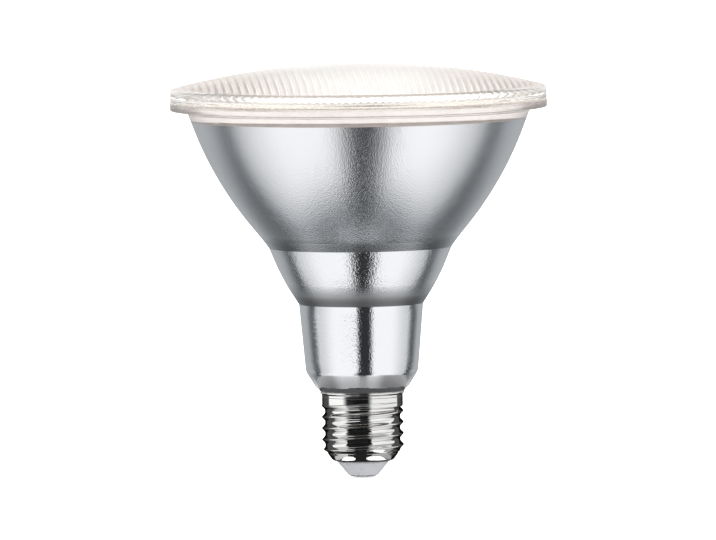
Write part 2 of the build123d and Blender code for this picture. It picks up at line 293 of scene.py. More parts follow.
# ------------------------------------------------------------------------------ materials
def silver(name, base, rough, peel, peel_scale, grain, grain_scale, rough_var):
    """Silvered glass: mirror under a skin of pressed glass, with its orange peel and grain."""
    m, t, b = material(name, metallic=1.0, coat_weight=0.35, coat_roughness=0.06, coat_ior=1.5)
    v = t.coords()
    broad = t.noise(v, 55.0, 3.0)
    t.put(b.inputs["Base Color"], t.colours(broad, [(0.25, tuple(0.965 * c for c in base)), (0.75, base)]))
    fine = t.noise(v, grain_scale, 2.0, 0.55)
    t.put(b.inputs["Roughness"], t.ramp(fine, 0.3, 0.7, rough - rough_var, rough + rough_var, "LINEAR"))
    normal = t.bump(t.noise(v, peel_scale, 1.5, 0.45), peel)
    t.put(b.inputs["Normal"], t.bump(fine, grain, 1.0, normal))
    return m


def glass(name, tint, rough, wave, glow=(1.0, 1.0, 1.0), strength=0.0):
    """Pressed glass with faint waviness; glow and strength give it a painted glow, emission standing in for the lamp's
    own light caught on that face.
    """
    m, t, b = material(name, base_color=tint, transmission_weight=1.0, roughness=rough, ior=1.5,
                       emission_color=glow, emission_strength=strength)
    v = t.coords()
    t.put(b.inputs["Normal"], t.bump(t.noise(v, 140.0, 2.0), wave))
    return m


SILVER_BOWL = silver("silver_satin", (0.90, 0.908, 0.94), 0.20, 0.15e-5, 520.0, 6.6e-5, 2300.0, 0.03)
SILVER_BRIGHT = silver("silver_bright", (0.90, 0.906, 0.935), 0.07, 0.8e-5, 420.0, 5.2e-5, 1800.0, 0.02)

# the silver is rougher low on the waist cone, and its colour there is darkened in bands as painted shade, standing in
# for the darker reflection at the foot of the cone
t = Tree(SILVER_BRIGHT.node_tree)
b = SILVER_BRIGHT.node_tree.nodes["Principled BSDF"]
sep = t.node("ShaderNodeSeparateXYZ")
t.put(sep.inputs[0], t.coords())
height = sep.outputs[2]
painted_shade = t.colours(t.ramp(height, 0.050, 0.080, 0.0, 1.0, "LINEAR"),
                 [(0.1817, (1.0, 1.0, 1.0)), (0.185, (0.25, 0.255, 0.255)), (0.2333, (0.28, 0.285, 0.285)),
                  (0.2667, (0.40, 0.405, 0.405)), (0.295, (0.57, 0.575, 0.575)), (0.3467, (0.72, 0.725, 0.725)),
                  (0.42, (1.0, 1.0, 1.0))])
t.put(b.inputs["Base Color"], t.mix_colour(1.0, b.inputs["Base Color"].links[0].from_socket, painted_shade, "MULTIPLY"))
t.put(b.inputs["Roughness"], t.math("ADD", b.inputs["Roughness"].links[0].from_socket,
                                    t.math("MULTIPLY", t.ramp(height, 0.0640, 0.0580, 0.0, 0.32),
                                           t.ramp(height, 0.0554, 0.0557))))

# finer grain on the neck, coarser on the cone
grain = b.inputs["Normal"].links[0].from_node
t.put(grain.inputs["Distance"], t.ramp(height, 0.0550, 0.0575, 4.0e-5, 7.4e-5))

# painted shade: the silver's colour is darkened on the step under the bowl too, standing in for the darker reflection
# there
t = Tree(SILVER_BOWL.node_tree)
b = SILVER_BOWL.node_tree.nodes["Principled BSDF"]
sep = t.node("ShaderNodeSeparateXYZ")
t.put(sep.inputs[0], t.coords())
painted_shade = t.colours(t.ramp(sep.outputs[2], 0.0730, 0.0800, 0.0, 1.0, "LINEAR"),
                 [(0.08, (0.48, 0.485, 0.48)), (0.36, (0.58, 0.585, 0.58)), (0.50, (0.72, 0.725, 0.72)),
                  (0.72, (1.0, 1.0, 1.0))])
t.put(b.inputs["Base Color"], t.mix_colour(1.0, b.inputs["Base Color"].links[0].from_socket, painted_shade, "MULTIPLY"))

# the last two numbers of each glass are its painted glow: an emission colour and strength standing in for the lamp's
# light
LENS_GLASS = glass("lens_glass", (1.0, 0.985, 0.97), 0.0, 1.0e-5, (1.0, 0.88, 0.78), 0.01)
FLUTE_GLASS = glass("flute_glass", (1.0, 0.985, 0.97), 0.0, 1.0e-5, (1.0, 0.93, 0.86), 0.03)
SKIRT_GLASS = glass("skirt_glass", (1.0, 0.96, 0.92), 0.45, 4.0e-5, (1.0, 0.90, 0.80), 0.12)
BAND_GLASS = glass("band_glass", (1.0, 0.98, 0.965), 0.03, 0.6e-5)

# painted shade: each flute is tinted a little warmer and darker along its two edges, more so away from the middle,
# standing in for the light and shade seen through the ribs
F_PITCH, F_TURN = 2.25, math.radians(4.2)
for m, tone in ((FLUTE_GLASS, (0.50, 0.38, 0.30)), (LENS_GLASS, (0.60, 0.49, 0.41))):
    t = Tree(m.node_tree)
    b = m.node_tree.nodes["Principled BSDF"]
    sep = t.node("ShaderNodeSeparateXYZ")
    t.put(sep.inputs[0], t.coords())
    x, y = sep.outputs[0], sep.outputs[1]
    u = t.math("ADD", t.math("MULTIPLY", x, math.cos(F_TURN) / (F_PITCH * MM)),
               t.math("MULTIPLY", y, math.sin(F_TURN) / (F_PITCH * MM)))
    edge = t.math("ABSOLUTE", t.math("SUBTRACT", t.math("FRACT", t.math("ADD", u, 64.0)), 0.5))
    far = t.ramp(t.math("ABSOLUTE", u), 3.0, 21.0, 0.2, 1.0)
    rad = t.math("SQRT", t.math("ADD", t.math("MULTIPLY", x, x), t.math("MULTIPLY", y, y)))
    far = t.math("MULTIPLY", far, t.ramp(rad, 0.0578, 0.0566))
    line = t.math("MULTIPLY", t.ramp(edge, 0.20, 0.46), far)
    t.put(b.inputs["Base Color"], t.colours(line, [(0.0, (1.0, 0.99, 0.975)), (1.0, tone)]))

# painted glow: emission along the top edge of the rim and at the ends of the flutes stands in for the lamp's light
# caught there, with a little emission kept everywhere on the glass
for m, r0, r1, z0, glow, least in ((LENS_GLASS, 0.0584, 0.0592, 0.1240, 0.24, 0.01),
                                   (FLUTE_GLASS, 0.0552, 0.0568, 0.1000, 0.22, 0.03)):
    t = Tree(m.node_tree)
    b = m.node_tree.nodes["Principled BSDF"]
    sep = t.node("ShaderNodeSeparateXYZ")
    t.put(sep.inputs[0], t.coords())
    rad = t.math("SQRT", t.math("ADD", t.math("MULTIPLY", sep.outputs[0], sep.outputs[0]),
                                t.math("MULTIPLY", sep.outputs[1], sep.outputs[1])))
    edge = t.math("MULTIPLY", t.ramp(rad, r0, r1), t.ramp(sep.outputs[2], z0, z0 + 0.0006))
    edge = t.math("MULTIPLY", edge, t.ramp(t.math("ABSOLUTE", sep.outputs[0]), 0.050, 0.020))
    t.put(b.inputs["Emission Strength"], t.math("ADD", t.math("MULTIPLY", edge, glow), least))

# painted glow: the darker silver inside the clear band has a warm emission standing in for the lamp's light seen
# through the band
BAND_IN, t, b = material("band_inside", metallic=1.0, emission_color=(1.0, 0.91, 0.86), emission_strength=0.145)
v = t.coords()
n = t.noise(v, 300.0, 2.0)
t.put(b.inputs["Base Color"], t.colours(n, [(0.3, (0.41, 0.39, 0.38)), (0.7, (0.46, 0.44, 0.43))]))
t.put(b.inputs["Roughness"], t.ramp(n, 0.3, 0.7, 0.12, 0.18, "LINEAR"))
t.put(b.inputs["Normal"], t.bump(t.noise(v, 900.0, 2.0), 0.2e-5))

# painted glow: the inner mirror has a warm emission, stronger lower in the bowl, standing in for the lamp's light
# spread over the reflector
MIRROR_IN, t, b = material("silver_inside", metallic=1.0, emission_color=(1.0, 0.92, 0.83))
v = t.coords()
deep = t.node("ShaderNodeSeparateXYZ")
t.put(deep.inputs[0], v)
t.put(b.inputs["Emission Strength"], t.ramp(deep.outputs[2], 0.080, 0.118, 0.50, 0.28))
n = t.noise(v, 260.0, 2.0)
t.put(b.inputs["Base Color"], t.colours(n, [(0.3, (0.90, 0.89, 0.87)), (0.7, (0.95, 0.94, 0.92))]))
t.put(b.inputs["Roughness"], t.ramp(n, 0.3, 0.7, 0.22, 0.34, "LINEAR"))
t.put(b.inputs["Normal"], t.bump(t.voronoi(v, 420.0), 8.0e-5))

# painted glow: the sealant has a faint warm emission standing in for the lamp's light caught in it
SEALANT, t, b = material("sealant", base_color=(0.86, 0.79, 0.72), transmission_weight=0.4, ior=1.42,
                         emission_color=(1.0, 0.88, 0.76), emission_strength=0.05)
v = t.coords()
n = t.noise(v, 600.0, 2.0)
t.put(b.inputs["Roughness"], t.ramp(n, 0.3, 0.7, 0.15, 0.35, "LINEAR"))
t.put(b.inputs["Normal"], t.bump(n, 3.0e-5))

NICKEL, t, b = material("nickel_plate", metallic=1.0, specular_tint=(0.55, 0.54, 0.52))
v = t.coords()
drawn = t.noise(t.scaled(v, (1.0, 1.0, 9.0)), 240.0, 3.0)
t.put(b.inputs["Base Color"], t.colours(drawn, [(0.3, (0.89, 0.88, 0.865)), (0.7, (0.94, 0.935, 0.925))]))
t.put(b.inputs["Roughness"], t.ramp(drawn, 0.3, 0.7, 0.06, 0.10, "LINEAR"))
t.put(b.inputs["Normal"], t.bump(t.noise(v, 300.0, 1.0), 0.12e-5))

MOULDED = grained("moulded_white", (0.86, 0.865, 0.91), (0.91, 0.915, 0.955), 0.30, 420.0, 1.2e-5, ior=1.5,
                  subsurface_weight=0.15, subsurface_radius=(0.0012, 0.0012, 0.0014), subsurface_scale=1.0)
TINNED = grained("tinned_contact", (0.62, 0.62, 0.63), (0.74, 0.74, 0.74), 0.28, 900.0, 3.0e-5, metallic=1.0)
CEMENT = grained("cement", (0.55, 0.52, 0.47), (0.68, 0.65, 0.60), 0.85, 900.0, 1.5e-4)
SPUN = grained("spun_aluminium", (0.62, 0.63, 0.64), (0.74, 0.75, 0.76), 0.32, 700.0, 2.0e-5, metallic=1.0)
PAD = grained("grey_pad", (0.36, 0.38, 0.42), (0.45, 0.47, 0.51), 0.75, 1200.0, 5.0e-5)
WHITE_BOARD = grained("white_board", (0.82, 0.82, 0.80), (0.90, 0.90, 0.88), 0.38, 500.0, 1.0e-5)
STEEL = grained("plated_steel", (0.55, 0.55, 0.54), (0.68, 0.67, 0.66), 0.30, 1500.0, 2.0e-5, metallic=1.0)
GREEN_BOARD = grained("green_board", (0.030, 0.16, 0.075), (0.045, 0.23, 0.11), 0.35, 700.0, 1.2e-5)
SLEEVE = grained("dark_sleeve", (0.015, 0.02, 0.05), (0.03, 0.04, 0.09), 0.32, 500.0, 1.0e-5)
FILM = grained("yellow_film", (0.66, 0.44, 0.06), (0.80, 0.56, 0.10), 0.30, 500.0, 1.0e-5)
FERRITE = grained("ferrite", (0.035, 0.035, 0.038), (0.07, 0.07, 0.075), 0.62, 1600.0, 6.0e-5)
BLACK_PLASTIC = grained("black_plastic", (0.012, 0.012, 0.013), (0.03, 0.03, 0.032), 0.42, 1500.0, 2.0e-5)
CHIP_BLACK = grained("chip_ceramic", (0.02, 0.02, 0.022), (0.05, 0.05, 0.052), 0.5, 2200.0, 2.0e-5)
RESISTOR = grained("resistor_body", (0.50, 0.62, 0.66), (0.62, 0.73, 0.76), 0.45, 900.0, 2.0e-5)
RED_WIRE = grained("red_wire", (0.50, 0.020, 0.018), (0.66, 0.035, 0.03), 0.38, 900.0, 1.0e-5)
WHITE_WIRE = grained("white_wire", (0.74, 0.74, 0.72), (0.84, 0.84, 0.82), 0.42, 900.0, 1.0e-5)
BLACK_WIRE = grained("black_wire", (0.015, 0.015, 0.016), (0.035, 0.035, 0.036), 0.40, 900.0, 1.0e-5)

COPPER, t, b = material("copper_winding", metallic=1.0)
v = t.coords()
w = t.node("ShaderNodeTexWave", wave_type="BANDS", bands_direction="Z")
t.put(w.inputs["Vector"], v)
w.inputs["Scale"].default_value = 900.0
w.inputs["Distortion"].default_value = 0.6
t.put(b.inputs["Base Color"], t.colours(w.outputs["Fac"], [(0.2, (0.40, 0.15, 0.06)), (0.8, (0.86, 0.42, 0.20))]))
t.put(b.inputs["Roughness"], t.ramp(w.outputs["Fac"], 0.0, 1.0, 0.45, 0.25, "LINEAR"))
t.put(b.inputs["Normal"], t.bump(w.outputs["Fac"], 6.0e-5))

LED_LIT, t, b = material("led_phosphor", emission_color=(1.0, 0.84, 0.64), emission_strength=16.0)
v = t.coords()
n = t.noise(v, 2400.0, 2.0)
t.put(b.inputs["Base Color"], t.colours(n, [(0.3, (0.86, 0.74, 0.36)), (0.7, (0.93, 0.84, 0.48))]))
t.put(b.inputs["Roughness"], t.ramp(n, 0.3, 0.7, 0.4, 0.6, "LINEAR"))
t.put(b.inputs["Normal"], t.bump(n, 2.0e-5))

# ------------------------------------------------------------------------------ lens
LENS_R, APEX, DOME_R, FOOT_Z, EDGE_R, LENS_T = 60.37, 132.58, 239.0, 120.92, 1.3, 3.2
ZONE_R, FOOT_R, F_DEPTH = 57.0, 57.6, 0.42
DOME_C = APEX - DOME_R
IN_R = DOME_R - LENS_T


def flute_z(u, w):
    """Height of the fluted underside; u runs across the flutes, w along them."""
    f = (u / F_PITCH) % 1.0
    s = 2.0 * f - 1.0
    lift = F_DEPTH * (0.7 * (1.0 - s * s) + 0.3 * (0.5 + 0.5 * math.cos(math.pi * s)))
    return DOME_C + math.sqrt((math.sqrt(IN_R ** 2 - u * u) + lift) ** 2 - w * w)


def make_lens():
    per = 10
    n = int(2 * ZONE_R / F_PITCH * per)
    us = [F_PITCH / per * k for k in range(-n // 2 - 1, n // 2 + 2)]
    us = [u for u in us if abs(u) < ZONE_R - 0.25]
    ends = [ZONE_R * math.cos(math.radians(a)) for a in (0.0, 1.4, 2.8, 4.2)]
    us = sorted([-e for e in ends] + [u for u in us if abs(u) < ends[-1] - 0.03] + ends)
    rows = 40
    ts = [math.sin(math.pi / 2 * (2.0 * k / rows - 1.0)) * 0.35 + (2.0 * k / rows - 1.0) * 0.65
          for k in range(rows + 1)]
    ct, st = math.cos(F_TURN), math.sin(F_TURN)
    verts, faces = [], []

    def put(u, w, z):
        verts.append((u * ct - w * st, u * st + w * ct, z))
        return len(verts) - 1

    cols = []
    for j, u in enumerate(us):
        half = math.sqrt(max(ZONE_R ** 2 - u * u, 0.0))
        if j in (0, len(us) - 1):
            cols.append([put(u, 0.0, flute_z(u, 0.0))] * (rows + 1))
        else:
            cols.append([put(u, t * half, flute_z(u, t * half)) for t in ts])
    for a, b in zip(cols, cols[1:]):
        for k in range(rows):
            f = [a[k], b[k], b[k + 1], a[k + 1]]
            f = [v for j, v in enumerate(f) if v not in f[:j]]
            if len(f) > 2:
                faces.append(f)
    ids = [1] * len(faces)
    loop = [cols[0][0]] + [c[0] for c in cols[1:-1]] + [cols[-1][0]] + [c[-1] for c in cols[-2:0:-1]]
    angle = [math.atan2(verts[i][1], verts[i][0]) for i in loop]
    # rings from the edge of the fluted zone round the rim and up over the dome
    base = DOME_C + math.sqrt(IN_R ** 2 - ZONE_R ** 2) - 0.10
    skirt = DOME_C + math.sqrt(IN_R ** 2 - (ZONE_R + 0.8) ** 2) - 0.10
    k = DOME_R - EDGE_R
    wall_z = DOME_C + math.sqrt(k ** 2 - (LENS_R - EDGE_R) ** 2)
    tilt = math.asin((LENS_R - EDGE_R) / k)
    line = rounded([(ZONE_R, base, 0), (ZONE_R + 0.8, skirt, 0.35), (FOOT_R, FOOT_Z, 0.3),
                    (LENS_R - 0.12, FOOT_Z, 0.05), (LENS_R, FOOT_Z + 0.12, 0.08), (LENS_R, wall_z, 0)],
                   turn=12.0, run=1.2)
    for i in range(1, 13):
        a = math.pi / 2 + (tilt - math.pi / 2) * i / 12
        line.append(np.array((LENS_R - EDGE_R + EDGE_R * math.sin(a), wall_z + EDGE_R * math.cos(a))))
    rings = 30
    for i in range(1, rings + 1):
        a = tilt * (1 - i / rings)
        line.append(np.array((DOME_R * math.sin(a), DOME_C + DOME_R * math.cos(a))))
    prev, was = loop, (ZONE_R, base + 1.0)
    for r, z in line:
        zone = 1 if r < ZONE_R + 0.01 and z < 126 and was[0] < ZONE_R + 0.01 else 0
        if ZONE_R + 0.5 < r < FOOT_R + 0.05 and was[0] < FOOT_R + 0.05 and z < was[1] - 0.05 and z < 126:
            zone = 2
        was = (r, z)
        if r < 1e-6:
            tip = len(verts)
            verts.append((0.0, 0.0, z))
            faces.extend([prev[i], prev[(i + 1) % len(prev)], tip] for i in range(len(prev)))
            ids += [0] * len(prev)
            break
        ring = list(range(len(verts), len(verts) + len(angle)))
        verts.extend((r * math.cos(a), r * math.sin(a), z) for a in angle)
        faces.extend([prev[i], prev[(i + 1) % len(prev)], ring[(i + 1) % len(ring)], ring[i]]
                     for i in range(len(ring)))
        ids += [zone] * len(ring)
        prev = ring
    ob = piece("fluted_lens", verts, faces, [LENS_GLASS, FLUTE_GLASS, SKIRT_GLASS], ids, 32.0)
    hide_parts("lens")
    return ob


make_lens()

# ------------------------------------------------------------------------------ reflector
BODY_OUT = [(12.2, 22.8, 0), (12.2, 27.15, 0.3), (13.45, 27.42, 0.2), (15.15, 29.25, 2.0), (18.0, 33.75, 4.0),
            (19.95, 55.5, 0.3), (22.7, 59.7, 75.0), (26.0, 65.6, 70.0), (29.3, 73.6, 0.4), (31.35, 76.4, 0.5),
            (46.25, 94.57, 112.0), (54.95, 117.35, 0.9), (60.46, 118.1, 0.45), (60.46, 120.5, 0.15), (57.6, 120.5, 0)]
BODY_T = 2.5
SILVER_Z = 114.6


def make_reflector():
    inner = offset_corners(BODY_OUT[:-1], BODY_T)
    a, b = inner[9], inner[10]
    f = (120.5 - a[1]) / (b[1] - a[1])
    end = (a[0] + f * (b[0] - a[0]), 120.5, 0)
    line_in = rounded([(10.3, 22.8, 0), (10.3, 28.6, 1.5)] + [tuple(c) for c in inner[3:10]] + [end], run=3.0)
    line_out = rounded(BODY_OUT, run=3.0)
    for z in (SILVER_Z, 73.6):
        line_out = cut_at(line_out, z)
    line_in = cut_at(line_in, SILVER_Z)
    points = line_out + line_in[::-1]
    n_out = len(line_out)

    def pick(p, q, i):
        z = (p[1] + q[1]) / 2
        if i < n_out - 1:
            return 2 if z > SILVER_Z else 0 if z > 73.59 else 1
        if z > 120.49:
            return 2
        return 4 if z > SILVER_Z else 3

    verts, faces, ids = spun([tuple(p) for p in points], 224, True, pick)
    ob = piece("glass_reflector", verts, faces, [SILVER_BOWL, SILVER_BRIGHT, BAND_GLASS, MIRROR_IN, BAND_IN],
               ids, 30.0)
    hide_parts("reflector_body")
    return ob


make_reflector()


def make_seal():
    line = rounded([(57.7, 120.52, 0), (60.3, 120.52, 0.05), (60.42, 120.7, 0.1), (60.3, 120.88, 0.05),
                    (57.6, 120.88, 0.05), (57.48, 120.7, 0.12), (57.6, 120.52, 0.0)], run=1.5)
    verts, faces, ids = spun([tuple(p) for p in line], 160)
    ob = piece("sealant_bead", verts, faces, [SEALANT], ids)
    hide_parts("rim_seal")


make_seal()

# ------------------------------------------------------------------------------ screw shell
PITCH, CREST_R, ROOT_R = 3.629, 13.2, 12.05
THREAD_Z0 = 10.1 - PITCH


def make_shell():
    seg = 192
    line = rounded([(8.40, 4.78, 0), (9.9, 5.3, 1.6), (11.3, 7.3, 2.2), (ROOT_R, 9.6, 2.2),
                    (ROOT_R, 22.15, 0.35), (12.98, 22.55, 0.3), (12.98, 26.45, 0.2), (13.52, 26.86, 0.15),
                    (13.52, 27.18, 0.12), (13.3, 27.32, 0)], turn=8.0, step=0.2, run=0.07)
    inside = rounded([(13.05, 27.30, 0), (12.70, 26.5, 0.2), (12.70, 22.66, 0.2), (11.62, 22.2, 0.2), (11.62, 9.9, 0.9),
                      (10.9, 8.6, 0.9), (10.5, 7.2, 1.5), (9.3, 5.6, 0.6), (8.42, 5.14, 0)],
                     turn=15.0, step=1.0, run=2.0)
    verts, faces = [], []
    rings = []
    for r, z in line:
        ring = []
        for k in range(seg):
            th = 2 * math.pi * k / seg
            rr = r
            if 6.4 < z < 24.0:
                ph = (z - THREAD_Z0) / PITCH - th / (2 * math.pi)
                # a narrow crest and a broad round root
                c = math.sqrt(math.sin(math.pi * ph) ** 2 + 0.19 ** 2)
                ridge = (CREST_R - ROOT_R) * (1.0179 - c) / (1.0179 - 0.19)
                top = 11.2 + (z - 7.6) * 1.4
                want = ROOT_R - 0.06 + ridge
                # softened meeting with the rounded foot and with the collar
                s = 0.12
                want = -s * math.log(math.exp(-want / s) + math.exp(-top / s)) if top - want < 3 else want
                s = 0.06
                m = max(r, want)
                rr = m + s * math.log(math.exp((r - m) / s) + math.exp((want - m) / s))
                rr = min(rr, 13.22)
            ring.append(len(verts))
            verts.append((rr * math.cos(th), rr * math.sin(th), z))
        rings.append(ring)
    for r, z in inside:
        rings.append(list(range(len(verts), len(verts) + seg)))
        verts.extend((r * math.cos(2 * math.pi * k / seg), r * math.sin(2 * math.pi * k / seg), z)
                     for k in range(seg))
    n = len(rings)
    for i in range(n):
        a, b = rings[i], rings[(i + 1) % n]
        for k in range(seg):
            k2 = (k + 1) % seg
            faces.append((a[k], a[k2], b[k2], b[k]))
    ob = piece("threaded_shell", verts, faces, [NICKEL], sharp=50.0)
    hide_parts("screw_shell")


make_shell()


def make_insulator():
    line = rounded([(1.2, 0.46, 0), (4.8, 0.46, 0.3), (7.95, 4.25, 0.4), (8.22, 4.62, 0.15), (8.34, 4.68, 0.05),
                    (8.34, 5.18, 0.05), (9.1, 5.65, 0.1), (10.1, 7.0, 0.3), (10.2, 8.1, 0.2), (7.22, 8.1, 0.2),
                    (7.22, 5.92, 0.3), (3.2, 5.92, 0.2), (2.6, 4.02, 0.2), (1.2, 4.02, 0)], turn=12.0, run=0.8)
    verts, faces, ids = spun([tuple(p) for p in line], 128)
    ob = piece("insulator_moulding", verts, faces, [MOULDED], ids, 45.0)
    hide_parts("cap_insulator")


make_insulator()


def make_contact():
    line = rounded([(0.0, 0.05, 0), (1.6, 0.05, 0.5), (2.0, 0.0, 0.5), (3.55, 0.0, 0.6), (4.15, 0.12, 0.4), (4.4, 0.43, 0.05),
                    (1.12, 0.43, 0.05), (1.12, 4.02, 0.05), (2.2, 4.05, 0.1), (1.7, 4.9, 0.3), (0.0, 5.1, 0)],
                   turn=12.0, run=0.6)
    verts, faces, ids = spun([tuple(p) for p in line], 96, False)
    ob = piece("contact_button", verts, faces, [TINNED], ids, 40.0)
    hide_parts("centre_contact")


make_contact()

# ------------------------------------------------------------------------------ finishes of the inner pieces
FINISH = {
    "cap_cement": CEMENT, "heat_spreader": SPUN, "thermal_pad": PAD, "led_board": WHITE_BOARD,
    "led_packages": LED_LIT, "board_screws": STEEL, "board_connector": MOULDED, "driver_board": GREEN_BOARD,
    "output_capacitor": SLEEVE, "input_capacitor": FILM, "transformer_winding": COPPER,
    "transformer_core": FERRITE, "bridge_rectifier": BLACK_PLASTIC, "driver_chip": CHIP_BLACK,
    "chip_resistors": CHIP_BLACK, "fuse_resistor": RESISTOR, "live_lead": RED_WIRE, "neutral_lead": WHITE_WIRE,
    "led_lead_positive": RED_WIRE, "led_lead_negative": BLACK_WIRE,
    "lens": LENS_GLASS, "reflector_body": SILVER_BOWL, "rim_seal": SEALANT, "screw_shell": NICKEL,
    "cap_insulator": MOULDED, "centre_contact": TINNED,
}
for name, ob in NODES.items():
    ob.data.materials.clear()
    ob.data.materials.append(FINISH[name])

# ------------------------------------------------------------------------------ floor
me = bpy.data.meshes.new("floor")
s = 14.0
me.from_pydata([(-s, -s, -0.0004), (s, -s, -0.0004), (s, s, -0.0004), (-s, s, -0.0004)], [], [(0, 1, 2, 3)])
floor = bpy.data.objects.new("floor", me)
scene.collection.objects.link(floor)
fm, t, b = material("floor_white", base_color=(0.97, 0.97, 0.97), roughness=0.9, specular_ior_level=0.0,
                    emission_color=(1.0, 1.0, 1.0), emission_strength=0.5)
see = t.node("ShaderNodeBsdfTransparent")
mixer = t.node("ShaderNodeMixShader")
t.put(mixer.inputs[0], t.node("ShaderNodeNewGeometry").outputs["Backfacing"])
t.put(mixer.inputs[1], b.outputs[0])
t.put(mixer.inputs[2], see.outputs[0])
t.put(fm.node_tree.nodes["Material Output"].inputs["Surface"], mixer.outputs[0])
me.materials.append(fm)
floor.visible_glossy = False
floor.visible_diffuse = False
floor.visible_shadow = False

# ------------------------------------------------------------------------------ studio light
# Two broad white panels stand left and right in front, reaching well below the lamp, with a
# narrow dark gap between them; a white backdrop is behind and above, grey is underneath.
world = bpy.data.worlds.new("studio")
scene.world = world
world.use_nodes = True
w = Tree(world.node_tree)
sep = w.node("ShaderNodeSeparateXYZ")
w.put(sep.inputs[0], w.node("ShaderNodeTexCoord").outputs["Generated"])
deg = 180.0 / math.pi
el = w.math("MULTIPLY", w.math("ARCSINE", sep.outputs[2]), deg)
az = w.math("MULTIPLY", w.math("ARCTAN2", sep.outputs[0], w.math("MULTIPLY", sep.outputs[1], -1.0)), deg)
side = w.math("ABSOLUTE", az)
level = w.ramp(el, -12.0, -4.0)                                  # 1 at and above the horizon
steep = w.ramp(el, -14.0, -36.0)                                 # 1 well below it
# the gap between the panels
gap_l = w.mix(level, w.mix(steep, -6.0, -14.0), -50.0)
gap_r = w.mix(level, w.mix(steep, 19.0, 23.0), 20.0)
soft = w.mix(level, 1.0, 3.0)
in_gap = w.math("MULTIPLY", w.ramp(w.math("DIVIDE", w.math("SUBTRACT", az, gap_l), soft), -4.0, 2.0),
                w.ramp(w.math("DIVIDE", w.math("SUBTRACT", az, gap_r), soft), 4.0, -2.0))
in_gap = w.math("MULTIPLY", in_gap, w.ramp(el, 88.0, 74.0))
dark = w.mix(level, 0.035, 0.008)
# how far past the panels' outer edges a direction lies
past_r = w.math("SUBTRACT", az, w.mix(level, w.mix(steep, 103.0, 111.0), 118.0))
past_l = w.math("SUBTRACT", w.math("MULTIPLY", az, -1.0), w.mix(level, w.mix(steep, 96.0, 112.0), 112.0))
past = w.math("MAXIMUM", past_l, past_r)
panel = w.ramp(past, 3.0, -3.0)
bright = w.mix(level, w.ramp(past, -46.0, -4.0, 1.03, 0.64), w.ramp(az, -20.0, 20.0, 1.06, 0.90))
foot = w.math("ADD", el, w.math("MULTIPLY", side, -0.06))        # the lower edge rises outwards
under = w.ramp(foot, -79.0, -86.0, 0.11, 0.60)
bright = w.mix(w.ramp(foot, -75.5, -57.0), under, bright)
rear = w.mix(w.ramp(past, 10.0, 28.0), 0.10, w.mix(steep, 0.46, 0.17))
rear = w.mix(w.ramp(el, -55.0, -74.0), rear, under)
low = w.mix(panel, rear, bright)
high = w.mix(w.ramp(el, 38.0, 62.0), 1.04, 0.40)
lit = w.mix(w.math("MULTIPLY", w.ramp(el, -3.0, -0.5), w.ramp(past, -6.0, 2.0)), low, high)
lit = w.mix(w.ramp(el, 5.0, 14.0), lit, high)
lit = w.mix(in_gap, lit, dark)
path = w.node("ShaderNodeLightPath")
lit = w.mix(path.outputs["Is Camera Ray"], lit, 1.0)
bg = world.node_tree.nodes["Background"]
w.put(bg.inputs["Strength"], lit)
w.put(bg.inputs["Color"], w.colours(lit, [(0.08, (0.90, 0.975, 1.01)), (0.85, (1.0, 1.0, 1.0))]))
world.cycles.sampling_method = "MANUAL"
world.cycles.sample_map_resolution = 1024

# soft light from overhead for the floor
sun = bpy.data.lights.new("overhead", "SUN")
sun.energy = 3.3
sun.angle = math.radians(150.0)
over = bpy.data.objects.new("overhead", sun)
over.location = (0.0, 0.0, 2.0)
scene.collection.objects.link(over)
over.visible_glossy = False
over.visible_camera = False
over.visible_transmission = False


def card(name, faces_of, finish=None):
    """A card that shows only in reflections, black unless it has another finish."""
    verts, faces = faces_of
    me = bpy.data.meshes.new(name)
    me.from_pydata((np.asarray(verts) * MM).tolist(), [], faces)
    me.materials.append(finish or BLACK_CARD)
    ob = bpy.data.objects.new(name, me)
    scene.collection.objects.link(ob)
    ob.visible_camera = ob.visible_diffuse = ob.visible_transmission = ob.visible_shadow = False
    return ob


def arc_wall(r, a0, a1, z0, z1, n=40):
    """An upright wall on an arc, angles in degrees from -Y towards +X."""
    v, f = [], []
    for k in range(n + 1):
        a = math.radians(a0 + (a1 - a0) * k / n)
        v += [(r * math.sin(a), -r * math.cos(a), z0), (r * math.sin(a), -r * math.cos(a), z1)]
        if k:
            f.append((2 * k - 2, 2 * k, 2 * k + 1, 2 * k - 1))
    return v, f


BLACK_CARD = grained("card_black", (0.004, 0.004, 0.004), (0.006, 0.006, 0.006), 0.9, 300.0)
WHITE_CARD = grained("card_white", (0.85, 0.85, 0.85), (0.9, 0.9, 0.9), 0.9, 300.0,
                     emission_color=(1.0, 1.0, 1.0), emission_strength=0.8)
GREY_CARD = grained("card_grey", (0.01, 0.01, 0.01), (0.014, 0.014, 0.014), 0.9, 300.0,
                    emission_color=(1.0, 1.0, 1.0), emission_strength=0.07)


LIGHT_CARD = grained("card_light", (0.01, 0.01, 0.01), (0.014, 0.014, 0.014), 0.9, 300.0,
                     emission_color=(1.0, 1.0, 1.0), emission_strength=0.58)
DIM_CARD = grained("card_dim", (0.01, 0.01, 0.01), (0.014, 0.014, 0.014), 0.9, 300.0,
                   emission_color=(1.0, 1.0, 1.0), emission_strength=0.38)

